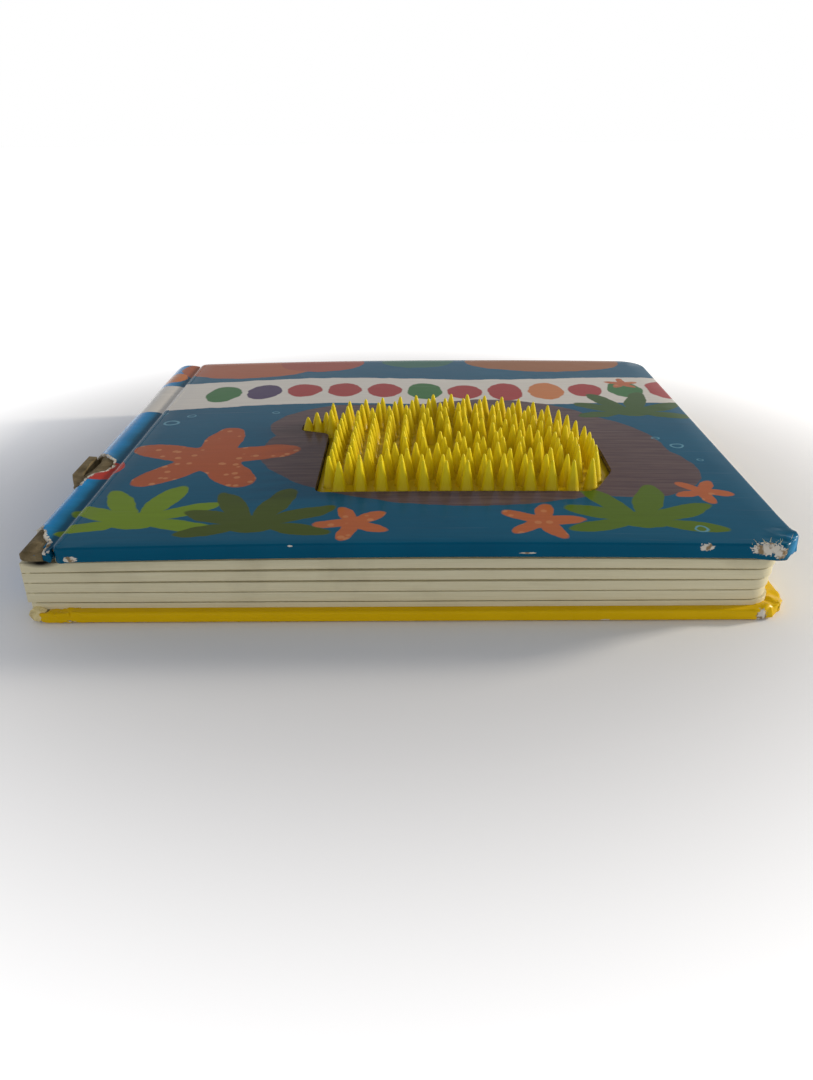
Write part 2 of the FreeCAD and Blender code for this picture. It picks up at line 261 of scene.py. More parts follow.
def settle(obj):
    """Puts an object's place into its mesh, so that it sits at the origin, unturned and unscaled."""
    bpy.ops.object.select_all(action="DESELECT")
    obj.select_set(True)
    bpy.context.view_layer.objects.active = obj
    bpy.ops.object.transform_apply(location=True, rotation=True, scale=True)


def smooth(obj, angle=35):
    """Smooth shading that keeps edges sharper than the angle."""
    bpy.ops.object.select_all(action="DESELECT")
    obj.select_set(True)
    bpy.context.view_layer.objects.active = obj
    bpy.ops.object.shade_smooth_by_angle(angle=math.radians(angle))


# %% The floor of the patch, and where its spikes stand
SPIKE_FREE_Z = 24.9
TIP_Z = 31.6
TAB_X = -31
TAB_SPIKES = ((-36.3, -0.6, 30.4), (-33.4, 2.2, 31.4), (-32.3, -1.2, 30.9), (-29.2, -0.4, 32.2))
patch = merged_copy("touch_patch", "spiky_patch")
tips = [v.co.copy() for v in patch.data.vertices if v.co.z > TIP_Z * MM and v.co.x > TAB_X * MM]
tips += [Vector(spot) * MM for spot in TAB_SPIKES]
begin(patch)
pick(patch, "FACE", lambda f: any(v.co.z > SPIKE_FREE_Z * MM for v in f.verts))
bpy.ops.mesh.delete(type="FACE")
pick(patch, "EDGE", lambda e: e.is_boundary)
bpy.ops.mesh.fill_holes(sides=24)
end()
print("spikes", len(tips), "tallest tip", round(max(t.z for t in tips) / MM, 2))

# %% One spike, pushed up ring by ring
SPIKE_SIDES = 12
SPIKE_RINGS = ((0.0, 2.7), (0.4, 2.36), (3.0, 1.95), (5.8, 1.42), (8.2, 0.92), (9.8, 0.56), (10.4, 0.34))
SPIKE_TIP = 10.7
bpy.ops.object.select_all(action="DESELECT")
bpy.ops.mesh.primitive_circle_add(vertices=SPIKE_SIDES, radius=SPIKE_RINGS[0][1] * MM, fill_type="NGON")
spike = bpy.context.object
spike.name = "one_spike"
begin(spike)
bpy.ops.mesh.select_all(action="SELECT")
for (low_z, low_r), (high_z, high_r) in zip(SPIKE_RINGS, SPIKE_RINGS[1:]):
    bpy.ops.mesh.extrude_region_move(TRANSFORM_OT_translate={"value": (0, 0, (high_z - low_z) * MM)})
    bpy.ops.transform.resize(value=(high_r / low_r, high_r / low_r, 1))
bpy.ops.mesh.extrude_region_move(TRANSFORM_OT_translate={"value": (0, 0, (SPIKE_TIP - SPIKE_RINGS[-1][0]) * MM)})
bpy.ops.mesh.merge(type="CENTER")
bpy.ops.mesh.select_all(action="SELECT")
bpy.ops.mesh.normals_make_consistent(inside=False)
end()
print("one spike", len(spike.data.polygons), "faces")

# %% How far the cover has bowed
HINGE_X = -100.4
FORE_X = 114.0
COVER_BOW = 1.3


def rise(x):
    """Height in mm that the bow adds to the front cover at x."""
    share = min(max((x - HINGE_X) / (FORE_X - HINGE_X), 0), 1)
    return 4 * COVER_BOW * share * (1 - share)


# %% Copy it to every tip, each with its own slight lean, as soft spikes have
FLOOR_Z = 23.05
ROOT_SUNK = 0.12
LEAN_DEG = 1.5
random.seed(7)
parts = [patch]
for tip in tips:
    copy = spike.copy()
    copy.data = spike.data.copy()
    bpy.context.scene.collection.objects.link(copy)
    root_z = (FLOOR_Z + rise(tip.x / MM) - ROOT_SUNK) * MM
    lean = [math.radians(random.uniform(-LEAN_DEG, LEAN_DEG)) for _ in range(2)]
    copy.location = (tip.x, tip.y, root_z)
    copy.rotation_euler = (*lean, random.uniform(0, math.pi))
    copy.scale = (1, 1, (tip.z - root_z) / (SPIKE_TIP * MM))
    parts.append(copy)
bpy.data.objects.remove(spike)
bpy.context.view_layer.update()
patch = join(parts, "spiky_patch")
settle(patch)
smooth(patch, 50)
print("patch", len(patch.data.polygons), "faces")

# %% [markdown]
# ## The printed paper of the covers
# Each cover is a greyboard panel wrapped in one printed, gloss-laminated sheet: flat on the
# outside, folded softly round the edges and turned in under the sheet that lines the cover.
# It could be a copy of the solid with a bevel, but a real fold has an even radius that runs
# round the corners too. So a block is bevelled first, upright corners and then rims, its inside
# is opened, and Solidify gives the skin the thickness of paper.

# %% Blocks, and selecting by place
def add_block(name, low, high):
    """A box from its lowest to its highest corner, in millimetres."""
    low, high = Vector(low), Vector(high)
    bpy.ops.object.select_all(action="DESELECT")
    bpy.ops.mesh.primitive_cube_add(size=1, location=(low + high) / 2 * MM)
    block = bpy.context.object
    block.scale = (high - low) * MM
    block.name = name
    settle(block)
    return block


def upright(edge):
    a, b = (v.co for v in edge.verts)
    return abs(a.z - b.z) > 5 * max((a - b).xy.length, 1e-9)


def level_at(part, z):
    return all(abs(v.co.z / MM - z) < 0.01 for v in part.verts)


def slab(name, low, high, hinge_r, fore_r, rim_r):
    """A sheet of board with rounded corners and softened rims, in millimetres."""
    piece = add_block(name, low, high)
    begin(piece)
    for radius, side in ((hinge_r, -1), (fore_r, 1)):
        pick(piece, "EDGE", lambda e: upright(e) and middle(e).x * side > 40)
        bpy.ops.mesh.bevel(offset=radius * MM, segments=12, affect="EDGES")
    if rim_r:
        pick(piece, "EDGE", lambda e: (level_at(e, low[2]) or level_at(e, high[2]))
             and len(e.link_faces) == 2 and min(abs(f.normal.z) for f in e.link_faces) < 0.5)
        bpy.ops.mesh.bevel(offset=rim_r * MM, segments=4, affect="EDGES")
    end()
    return piece


def slice_across(piece, axis, start, stop, step, wanted=None):
    """Cuts the faces with a row of planes, so that they can be bowed and dented."""
    normal = [0, 0, 0]
    normal[axis] = 1
    place = start
    while place < stop:
        point = [0, 0, 0]
        point[axis] = place * MM
        if wanted is None:
            bpy.ops.mesh.select_all(action="SELECT")
        else:
            pick(piece, "FACE", wanted)
        bpy.ops.mesh.bisect(plane_co=point, plane_no=normal)
        place += step


def finish_with(piece, kind, **settings):
    """Adds one modifier and applies it."""
    bpy.ops.object.select_all(action="DESELECT")
    piece.select_set(True)
    bpy.context.view_layer.objects.active = piece
    modifier = piece.modifiers.new(kind.lower(), kind)
    for name, value in settings.items():
        setattr(modifier, name, value)
    bpy.ops.object.modifier_apply(modifier=modifier.name)


# %% The window's own shape, as a block to cut with
WINDOW_LOW, WINDOW_HIGH = (-44, -66), (76, 28)


def in_window(p):
    return WINDOW_LOW[0] < p.x < WINDOW_HIGH[0] and WINDOW_LOW[1] < p.y < WINDOW_HIGH[1]


cutter = merged_copy("front_board", "window_cutter")
begin(cutter)
pick(cutter, "FACE", lambda f: not (abs(f.normal.z) < 0.1 and in_window(middle(f))))
bpy.ops.mesh.delete(type="FACE")
for side, z in ((1, 32), (-1, 14)):
    pick(cutter, "VERT", lambda v: (v.co.z / MM - 23.2 - (rise(v.co.x / MM))) * side > 0)
    bpy.ops.transform.resize(value=(1, 1, 0), center_override=(0, 0, z * MM))
    pick(cutter, "EDGE", lambda e: level_at(e, z))
    bpy.ops.mesh.edge_face_add()
bpy.ops.mesh.select_all(action="SELECT")
bpy.ops.mesh.normals_make_consistent(inside=False)
end()
cutter.hide_render = True
print("window outline", len(cutter.data.vertices) // 2, "points")

# %% Wrap both covers
PAPER_T = 0.35
FOLD_R = 0.75
TURN_IN = 9.0
PANEL_X = -99.25
CORNER_MESH = 1.3


def paper_wrap(name, z_low, z_high, inner_is_low, window=None):
    """Printed paper round one board: outside, folded edges and a turned-in margin."""
    piece = slab(name, (PANEL_X, -100, z_low), (FORE_X, 100, z_high), 3, 11, FOLD_R)
    inner_z = z_low if inner_is_low else z_high
    begin(piece)
    pick(piece, "FACE", lambda f: level_at(f, inner_z) and abs(f.normal.z) > 0.9)
    bpy.ops.mesh.inset(thickness=(TURN_IN - FOLD_R) * MM)
    end()
    if window:
        finish_with(piece, "BOOLEAN", operation="DIFFERENCE", object=window, solver="EXACT")
    begin(piece)
    margin = TURN_IN - 0.3

    def inside(p):
        return PANEL_X + margin < p.x < FORE_X - margin and abs(p.y) < 100 - margin

    pick(piece, "FACE", lambda f: (level_at(f, inner_z) and inside(middle(f)))
         or (abs(f.normal.z) < 0.1 and in_window(middle(f))))
    bpy.ops.mesh.delete(type="FACE")
    slice_across(piece, 0, -92, 112, 6)
    slice_across(piece, 1, -96, 100, 8)
    for side in (-1, 1):
        def worn(f):
            return middle(f).x * side > 90 and middle(f).y < -86 and max(e.calc_length() for e in f.edges) > MM

        low_x, high_x = (-99, -90) if side < 0 else (94, 113.5)
        slice_across(piece, 0, low_x, high_x, CORNER_MESH, worn)
        slice_across(piece, 1, -99, -86, CORNER_MESH, worn)
    end()
    return piece


# Both sheets are folded a little past their liners, so that no liner shows at the edge.
COVER_TOP, FRONT_RIM, BACK_RIM = 24.55, 19.85, 3.45
front_paper = paper_wrap("front_paper", FRONT_RIM, COVER_TOP, True, cutter)
back_paper = paper_wrap("back_paper", 0, BACK_RIM, False)
print("front paper", len(front_paper.data.polygons), "faces, back paper", len(back_paper.data.polygons))


# %% Crumple their worn corners
def crumple(piece, corner, reach, push, sag, rough):
    """Pushes the paper out at a corner and less further off, with small folds, in millimetres."""
    top = max(v.co.z for v in piece.data.vertices) / MM
    for vertex in piece.data.vertices:
        point = vertex.co / MM
        near = max(1 - (point - Vector(corner)).length / reach, 0)
        folds = noise.noise_vector(point * 0.33) * rough + noise.noise_vector(point * 0.9) * rough * 0.4
        folds.z -= sag * (top - point.z)
        vertex.co += (Vector(push) + folds) * min(near * 1.6, 1) * MM


crumple(front_paper, (112.5, -98.5, 23), 13, (1.1, -0.5, 0.25), 0.2, 0.7)
crumple(front_paper, (-99, -100, 22), 6, (0, 0, 0), 0.05, 0.5)
crumple(back_paper, (112, -98, 1.5), 12, (0.3, -0.2, 0.25), 0, 1.0)
crumple(back_paper, (-99, -100, 1.5), 9, (0, 0, 0.1), 0, 0.5)
for vertex in back_paper.data.vertices:
    vertex.co.z = max(vertex.co.z, 0)

# %% Bow the front cover and give both papers their thickness
for vertex in front_paper.data.vertices:
    vertex.co.z += rise(vertex.co.x / MM) * MM
for piece in (front_paper, back_paper):
    finish_with(piece, "SOLIDIFY", thickness=PAPER_T * MM, offset=-1, use_rim=True)
    smooth(piece, 40)
bpy.data.objects.remove(cutter)

# %% [markdown]
# ## The spine's paper, torn open
# The same sheet goes on over the spine: down into each groove, over a rounded shoulder and round
# the back. Its own curve could be copied from the solid, but torn paper needs small faces to curl
# at its edges. So a straight strip is extruded edge by edge along the curve, cut across into
# narrow bands, and the missing parts are cut out with ragged blocks. Near the tail the back of
# the spine has gone, and the paper runs closer to the pages.

# %% The curve over the spine
BOOK_TOP = 24.55
CROWN = (-106.1, BOOK_TOP - 0.6)
LIP = (-100.55, BOOK_TOP - 1.3)
FOOT_CROWN = (CROWN[0], 0.4)
FOOT_LIP = (LIP[0], 1.3)
SPINE_ROUND = 5.5


def shoulder(crown, far, count):
    """Points (x, z) of an arc that leaves the crown level and ends at far, without the crown itself."""
    across, drop = far[0] - crown[0], far[1] - crown[1]
    radius = (across ** 2 + drop ** 2) / (2 * abs(drop))
    sweep = math.asin(min(abs(across) / radius, 1))
    if abs(drop) > radius:
        sweep = math.pi - sweep
    return [(crown[0] + math.copysign(radius * math.sin(sweep * k / count), across),
             crown[1] + math.copysign(radius * (1 - math.cos(sweep * k / count)), drop))
            for k in range(1, count + 1)]


def spine_curve(x_out):
    """Points from the upper groove over the back of the spine to the lower groove."""
    top, foot = (x_out, CROWN[1] - SPINE_ROUND), (x_out, FOOT_CROWN[1] + SPINE_ROUND)
    points = [LIP] + shoulder(CROWN, LIP, 6)[-2::-1] + [CROWN] + shoulder(CROWN, top, 9)
    points += [(x_out, top[1] + (foot[1] - top[1]) * k / 6) for k in range(1, 6)]
    return points + shoulder(FOOT_CROWN, foot, 9)[::-1] + [FOOT_CROWN] + shoulder(FOOT_CROWN, FOOT_LIP, 6)


# %% Extrude it, band it and round its ends
def spine_strip(name, x_out, y_low, y_high, band, round_low, round_high):
    """Paper along one stretch of the spine, with its end corners rounded in plan."""
    points = spine_curve(x_out)
    (x0, z0), (x1, z1) = points[:2]
    bpy.ops.object.select_all(action="DESELECT")
    bpy.ops.mesh.primitive_plane_add(size=1, location=(0, 0, 0))
    strip = bpy.context.object
    strip.name = name
    strip.scale = ((x0 - x1) * MM, (y_high - y_low) * MM, 1)
    strip.location = ((x0 + x1) / 2 * MM, (y_low + y_high) / 2 * MM, 0)
    settle(strip)
    begin(strip)
    pick(strip, "VERT", lambda v: v.co.x / MM > (x0 + x1) / 2)
    bpy.ops.transform.translate(value=(0, 0, z0 * MM))
    pick(strip, "VERT", lambda v: v.co.x / MM < (x0 + x1) / 2)
    bpy.ops.transform.translate(value=(0, 0, z1 * MM))
    pick(strip, "EDGE", lambda e: all(v.co.x / MM < (x0 + x1) / 2 for v in e.verts))
    for (xa, za), (xb, zb) in zip(points[1:], points[2:]):
        bpy.ops.mesh.extrude_region_move(TRANSFORM_OT_translate={"value": ((xb - xa) * MM, 0, (zb - za) * MM)})
    pick(strip, "EDGE", lambda e: abs(e.verts[0].co.y - e.verts[1].co.y) > (y_high - y_low) * 0.9 * MM)
    bpy.ops.mesh.subdivide(number_cuts=round((y_high - y_low) / band) - 1)
    bpy.ops.mesh.select_all(action="SELECT")
    bpy.ops.mesh.normals_make_consistent(inside=False)
    end()
    for vertex in strip.data.vertices:
        x, y = vertex.co.x / MM, vertex.co.y / MM
        for radius, edge, way in ((round_low, y_low, 1), (round_high, y_high, -1)):
            lost = radius - math.sqrt(max(radius ** 2 - max(x_out + radius - x, 0) ** 2, 0)) if radius else 0
            reach = 1 - min(abs(y - edge) / 12, 1)
            vertex.co.y += way * lost * reach * MM
    return strip


SPINE_OUT, SPINE_OUT_NEAR, BREAK_Y = -114.0, -110.0, -50
far_paper = spine_strip("far_paper", SPINE_OUT, BREAK_Y, 100, 1.5, 0, 3.5)
near_paper = spine_strip("near_paper", SPINE_OUT_NEAR, -100, BREAK_Y + 0.2, 1.5, 3.5, 0)
print("spine strips", len(far_paper.data.polygons), "and", len(near_paper.data.polygons), "faces")

# %% Ragged blocks cut the tears
MID_TEAR = ((-116, -20), (-110.4, -20.6), (-103.2, -28), (-101.6, -34), (-103.1, -38.8), (-106, -40.6),
            (-107.3, -46.2), (-107.5, -52), (-116, -54))
TAIL_TEAR = ((-116, -81.8), (-109.2, -81.8), (-106.3, -86), (-104, -90.5), (-101.8, -93), (-101.2, -102),
             (-116, -102))
FOOT_TEAR = ((-116, -84), (-108.5, -86), (-104.5, -90), (-101.5, -93.5), (-99.8, -102), (-116, -102))
BACK_GONE = ((-116, -42), (-112.6, -42.4), (-111.6, -47), (-110, -49), (-109.6, -51.2), (-116, -51.2))
RAG_STEP, RAG = 1.1, 0.45


def ragged(points, seed):
    """The same outline with small uneven teeth, as torn paper has."""
    random.seed(seed)
    made = []
    for (xa, ya), (xb, yb) in zip(points, points[1:] + points[:1]):
        length = math.hypot(xb - xa, yb - ya)
        steps = max(1, round(length / RAG_STEP)) if max(abs(ya), abs(yb)) < 101 and max(xa, xb) > -115 else 1
        for k in range(steps):
            share = k / steps
            off = random.uniform(-RAG, RAG) if steps > 1 else 0
            made.append((xa + (xb - xa) * share + off * (yb - ya) / length,
                         ya + (yb - ya) * share - off * (xb - xa) / length))
    return made


def ragged_block(points, z_low, z_high, seed):
    """An upright block on a torn outline: a ring of vertices is pulled into shape, then extruded."""
    outline = ragged(points, seed)
    bpy.ops.object.select_all(action="DESELECT")
    bpy.ops.mesh.primitive_circle_add(vertices=len(outline), radius=1, fill_type="NGON")
    block = bpy.context.object
    for vertex, (x, y) in zip(block.data.vertices, outline):
        vertex.co = (x * MM, y * MM, z_low * MM)
    begin(block)
    bpy.ops.mesh.select_all(action="SELECT")
    bpy.ops.mesh.extrude_region_move(TRANSFORM_OT_translate={"value": (0, 0, (z_high - z_low) * MM)})
    bpy.ops.mesh.select_all(action="SELECT")
    bpy.ops.mesh.normals_make_consistent(inside=False)
    end()
    return block


def tear_out(piece, points, z_low, z_high, seed):
    block = ragged_block(points, z_low, z_high, seed)
    finish_with(piece, "BOOLEAN", operation="DIFFERENCE", object=block, solver="EXACT")
    bpy.data.objects.remove(block)


TEARS = ((MID_TEAR, 15.6, 26, 3), (TAIL_TEAR, 8, 26, 4), (FOOT_TEAR, -1, 9, 5), (BACK_GONE, -1, 26, 6))


def tear_distance(x, y, z):
    """Distance in mm in plan to the nearest torn edge that reaches this height."""
    best = 99
    for points, z_low, z_high, _ in TEARS:
        if not z_low - 1 < z < z_high:
            continue
        for (xa, ya), (xb, yb) in zip(points, points[1:]):
            length = (xb - xa) ** 2 + (yb - ya) ** 2
            share = min(max(((x - xa) * (xb - xa) + (y - ya) * (yb - ya)) / length, 0), 1)
            best = min(best, math.hypot(x - xa - share * (xb - xa), y - ya - share * (yb - ya)))
    return best


def curl_and_mark(piece):
    """Lifts the paper unevenly along its tears, and marks how bare each point is."""
    bare = piece.data.attributes.new("bare", "FLOAT", "POINT")
    for vertex in piece.data.vertices:
        away = tear_distance(*(vertex.co / MM))
        ragged_noise = noise.noise(vertex.co / MM * 0.45)
        if away < 3:
            lift = (0.3 + 0.6 * ragged_noise) * (1 - away / 3) ** 2
            vertex.co += vertex.normal * lift * MM
        bare.data[vertex.index].value = 1 - min(max((away - 0.15 - 0.7 * ragged_noise) / 0.9, 0), 1)


for piece in (far_paper, near_paper):
    finish_with(piece, "SOLIDIFY", thickness=PAPER_T * MM, offset=-1, use_even_offset=True, use_rim=True)
    for tear in TEARS:
        if piece is near_paper or tear[0] in (MID_TEAR, BACK_GONE):
            tear_out(piece, *tear)
    curl_and_mark(piece)
spine_paper = join([far_paper, near_paper], "spine_paper")
smooth(spine_paper, 45)
print("spine paper", len(spine_paper.data.polygons), "faces")

# %% [markdown]
# ## Leaves
# Four thick leaves are joined at the spine by the folds of their sheets. Plain boxes would do
# from far away, but the cut edges of page board are slightly rounded and the upper leaves have
# bowed, so each leaf is a bevelled slab of its own, a little longer or shorter than the next.

# %% Model each leaf and join them at the fold
LEAF_T, LEAF_GAP, LEAF_BOTTOM = 3.05, 0.25, 5.4
LEAF_BOWS = (0, 0.05, 0.45, 0.95)
LEAF_SHIFTS = (-0.7, -0.2, 0.4, 0.9)
FOLD_X, PAGE_FORE_X, PAGE_Y = -109.5, 109.5, 97.0
FRAYED_Y, FRAYED_OUT = -84, 1.0
parts = []
bottom = LEAF_BOTTOM
for bow, shift in zip(LEAF_BOWS, LEAF_SHIFTS):
    leaf = slab("leaf", (FOLD_X, -PAGE_Y, bottom), (PAGE_FORE_X + shift, PAGE_Y, bottom + LEAF_T), 0.5, 7.5, 0.16)
    begin(leaf)
    slice_across(leaf, 0, -104, 104, 8)
    slice_across(leaf, 1, FRAYED_Y - 10, FRAYED_Y + 1, 5)
    end()
    for vertex in leaf.data.vertices:
        share = min(max((vertex.co.x / MM - FOLD_X) / (FORE_X - FOLD_X), 0), 1)
        vertex.co.z += 4 * bow * share * (1 - share) * MM
        # With the paper gone, the folds have spread a little at the tail.
        if share < 0.01:
            vertex.co.x -= FRAYED_OUT * min(max((FRAYED_Y - vertex.co.y / MM) / 10, 0), 1) * MM
    parts.append(leaf)
    bottom += LEAF_T + LEAF_GAP
FOLD_BACK = 0.2
fold_y = PAGE_Y - FOLD_BACK
parts.append(slab("folds", (FOLD_X + 0.1, -fold_y, 3.0), (-107.9, fold_y, 18.5), 0.5, 0.3, 0.12))
parts.append(slab("foot_fold", (FOLD_X, -PAGE_Y - 0.04, 3.0), (-98.6, PAGE_Y + 0.04, 5.13), 0.5, 0.3, 0.12))
parts.append(slab("head_fold", (FOLD_X, -80, 18.45), (-100.9, PAGE_Y, 20.55), 0.5, 0.3, 0.12))
leaves = join(parts, "leaves")
smooth(leaves, 40)
print("leaves", len(leaves.data.polygons), "faces")

# %% [markdown]
# ## Paper across the hinges
# At each hinge the printed sheet dips into a groove, where a real sheet bends when the cover opens.

# %% Extrude a strip through each groove
GROOVE_POINTS = ((-102.3, 23.66), (-101.6, 23.56), (-101.0, 23.42), (-100.6, 23.31), (-100.2, 23.27),
                 (-99.8, 23.42), (-99.45, 23.8), (-99.2, 24.25), (-98.9, 24.5), (-98.4, 24.63), (-97.4, 24.69))
GROOVE_END = 97


def groove_strip(name, points):
    """A strip of paper along the groove, extruded edge by edge through its points."""
    (x0, z0), (x1, z1) = points[:2]
    bpy.ops.object.select_all(action="DESELECT")
    bpy.ops.mesh.primitive_plane_add(size=1)
    strip = bpy.context.object
    strip.name = name
    strip.scale = (abs(x1 - x0) * MM, 2 * GROOVE_END * MM, 1)
    strip.location = ((x0 + x1) / 2 * MM, 0, 0)
    settle(strip)
    begin(strip)
    for side, z in ((-1, z0), (1, z1)):
        pick(strip, "VERT", lambda v: (v.co.x / MM - (x0 + x1) / 2) * side > 0)
        bpy.ops.transform.translate(value=(0, 0, z * MM))
    pick(strip, "EDGE", lambda e: all(v.co.x / MM > (x0 + x1) / 2 for v in e.verts))
    for (xa, za), (xb, zb) in zip(points[1:], points[2:]):
        bpy.ops.mesh.extrude_region_move(TRANSFORM_OT_translate={"value": ((xb - xa) * MM, 0, (zb - za) * MM)})
    bpy.ops.mesh.select_all(action="SELECT")
    bpy.ops.mesh.normals_make_consistent(inside=False)
    end()
    return strip


front_groove = groove_strip("front_groove_paper", GROOVE_POINTS)
back_groove = groove_strip("back_groove_paper", [(x, BOOK_TOP - z) for x, z in GROOVE_POINTS])
for strip, up in ((front_groove, 1), (back_groove, -1)):
    if strip.data.polygons[0].normal.z * up < 0:
        begin(strip)
        bpy.ops.mesh.select_all(action="SELECT")
        bpy.ops.mesh.flip_normals()
        end()
    finish_with(strip, "SOLIDIFY", thickness=0.22 * MM, offset=-1, use_even_offset=True, use_rim=True)
    smooth(strip, 50)

# %% [markdown]
# ## The crushed foot of the spine
# At the tail the foot of the spine has been crushed: the paper is gone, the board has swollen to
# a lump of pulp, and the yellow sheet is crumpled up against it. Both could be noise on a box,
# but pulp swells round and paper breaks into flat facets, so the lump starts as a sphere with
# fine noise and the fold as a sliced block with coarse noise.

# %% Pulp, folded paper and loose fibres
bpy.ops.object.select_all(action="DESELECT")
bpy.ops.mesh.primitive_ico_sphere_add(subdivisions=5, radius=MM)
pulp = bpy.context.object
pulp.name = "crushed_pulp"
PULP_MIDDLE, PULP_HALF = Vector((-107.3, -97.9, 2.25)), (2.35, 2.9, 2.15)
for vertex in pulp.data.vertices:
    way = vertex.co / MM
    swell = 1 + 0.22 * noise.noise(way * 1.6 + Vector((3, 1, 2))) + 0.10 * noise.noise(way * 5)
    point = PULP_MIDDLE + Vector(w * half * swell for w, half in zip(way, PULP_HALF))
    point.z = max(point.z, 0.02)
    vertex.co = point * MM
smooth(pulp, 60)



def crushed_paper(name, low, high, rough, taper, floor_z):
    """Paper crushed into a small wad: a sliced block with folds, thinner towards the spine."""
    piece = slab(name, low, high, 0.3, 0.3, 0.3)
    begin(piece)
    for axis in range(3):
        slice_across(piece, axis, low[axis] + 0.6, high[axis] - 0.2, 0.65)
    end()
    for vertex in piece.data.vertices:
        point = vertex.co / MM
        folds = noise.noise_vector(Vector((point.x * 0.6 + point.z * 0.4, point.y * 0.4, point.z * 0.6)))
        slope = (high[0] - point.x) / (high[0] - low[0])
        point += folds * rough + Vector((0, 0, ((low[2] + high[2]) / 2 - point.z) * taper * slope))
        point.z = max(point.z, floor_z)
        vertex.co = point * MM
    smooth(piece, 25)
    return piece


foot_paper = crushed_paper("crumpled_foot_paper", (-106.2, -100.1, 0.1), (-97.4, -96.6, 3.4), 0.6, 0.15, 0.02)
head_paper = crushed_paper("torn_groove_paper", (-104.2, -99.5, 20.0), (-99.6, -96.5, 23.6), 0.7, 0.5, 19.4)
print("pulp", len(pulp.data.polygons), "faces, folded paper", len(foot_paper.data.polygons))

# %% Loose fibres at the broken corner and along the tears
CORNER_SPOTS = ((101, -99.6, 24.4, 5), (105, -99.2, 24.5, 7), (109.5, -97.5, 24.2, 5))
SPINE_SPOTS = ((-108.6, -82.5, 22.0, 4), (-109.6, -21, 21.8, 3), (-107, -99.6, 3.6, 4))
bpy.ops.object.select_all(action="DESELECT")
bpy.ops.mesh.primitive_cone_add(vertices=4, radius1=0.09 * MM, radius2=0.03 * MM, depth=2.6 * MM,
                                location=(0, 0, 1.3 * MM))
fibre = bpy.context.object
settle(fibre)
begin(fibre)
slice_across(fibre, 2, 0.5, 2.4, 0.5)
end()
for vertex in fibre.data.vertices:
    vertex.co.x += (vertex.co.z / MM) ** 2 * 0.12 * MM
random.seed(12)


def add_fibres(name, spots):
    """Copies of the fibre, a few at each spot, each with its own lean and length."""
    parts = []
    for x, y, z, count in spots:
        for _ in range(count):
            copy = fibre.copy()
            copy.data = fibre.data.copy()
            bpy.context.scene.collection.objects.link(copy)
            copy.location = Vector((x + random.gauss(0, 1.2), y + random.gauss(0, 0.3), z)) * MM
            copy.rotation_euler = (random.uniform(-1.2, 1.2), random.uniform(-1.2, 1.2), random.uniform(0, 6.28))
            copy.scale = [random.uniform(0.4, 0.9)] * 3
            parts.append(copy)
    bpy.context.view_layer.update()
    piece = join(parts, name)
    settle(piece)
    return piece


corner_fibres = add_fibres("corner_fibres", CORNER_SPOTS)
spine_fibres = add_fibres("spine_fibres", SPINE_SPOTS)
bpy.data.objects.remove(fibre)
print("fibres", len(corner_fibres.data.polygons) + len(spine_fibres.data.polygons), "faces")

# %% [markdown]
# ## Inks under gloss film
# The covers are offset-printed paper under a clear polypropylene film, which is what makes them
# shine. A picture could be painted as an image, but then it would have one fixed sharpness. Here
# a plain seabed is drawn with formulas, in millimetres on the cover: ovals, stars and waves, each
# one a mask that lays an ink over the inks below. Noise bends their outlines, as a brush would.

# %% Places on the print, in millimetres
def print_places(tree, wobble_mm):
    """Where a point lies on the flat sheet, straight and with a hand-drawn wobble, in millimetres."""
    origin = add_node(tree, "ShaderNodeTexCoord")
    flat = add_node(tree, "ShaderNodeVectorMath", {0: origin.outputs["Object"], 1: (1000, 1000, 0)},
                    operation="MULTIPLY")
    bend = add_node(tree, "ShaderNodeTexNoise", {"Vector": flat.outputs[0], "Scale": 0.11, "Detail": 3})
    centred = add_node(tree, "ShaderNodeVectorMath", {0: bend.outputs["Color"], 1: (-0.5, -0.5, -0.5)},
                       operation="ADD")
    drawn = add_node(tree, "ShaderNodeVectorMath",
                     {0: centred.outputs[0], 1: (wobble_mm * 2, wobble_mm * 2, 0), 2: flat.outputs[0]},
                     operation="MULTIPLY_ADD")
    return origin.outputs["Object"], flat.outputs[0], drawn.outputs[0]


def ink(tree, below, colour, mask):
    """Prints one ink over what is below it where the mask is 1."""
    above = linear(colour) if isinstance(colour, str) else colour
    laid = add_node(tree, "ShaderNodeMix", {0: mask, 6: below, 7: above}, data_type="RGBA")
    return laid.outputs[2]


def inside_line(tree, distance, line, soft):
    """1 where a distance is below the line, 0 above it, with a soft step between."""
    step = add_node(tree, "ShaderNodeMapRange", {"Value": distance, "From Min": line - soft,
                                                 "From Max": line + soft, "To Min": 1.0, "To Max": 0.0})
    return step.outputs["Result"]


def oval(tree, place, x, y, wide, high, turn=0):
    """1 inside an oval on the sheet, in millimetres."""
    local = add_node(tree, "ShaderNodeMapping",
                     {"Vector": place, "Location": (x, y, 0), "Rotation": (0, 0, math.radians(turn)),
                      "Scale": (wide / 2, high / 2, 1)}, vector_type="TEXTURE")
    away = add_node(tree, "ShaderNodeVectorMath", {0: local.outputs[0]}, operation="LENGTH")
    return inside_line(tree, away.outputs["Value"], 1, 0.4 / min(wide, high))


def fleck(tree, place, centre, size):
    """1 inside a small patch anywhere on the book, in millimetres, with a soft rim."""
    local = add_node(tree, "ShaderNodeMapping",
                     {"Vector": place, "Location": [c * MM for c in centre], "Scale": [s / 2 * MM for s in size]},
                     vector_type="TEXTURE")
    away = add_node(tree, "ShaderNodeVectorMath", {0: local.outputs[0]}, operation="LENGTH")
    return inside_line(tree, away.outputs["Value"], 0.75, 0.5)


def any_of(tree, masks):
    """1 where any of the masks is 1."""
    whole = masks[0]
    for mask in masks[1:]:
        whole = add_node(tree, "ShaderNodeMath", {0: whole, 1: mask}, operation="MAXIMUM").outputs[0]
    return whole


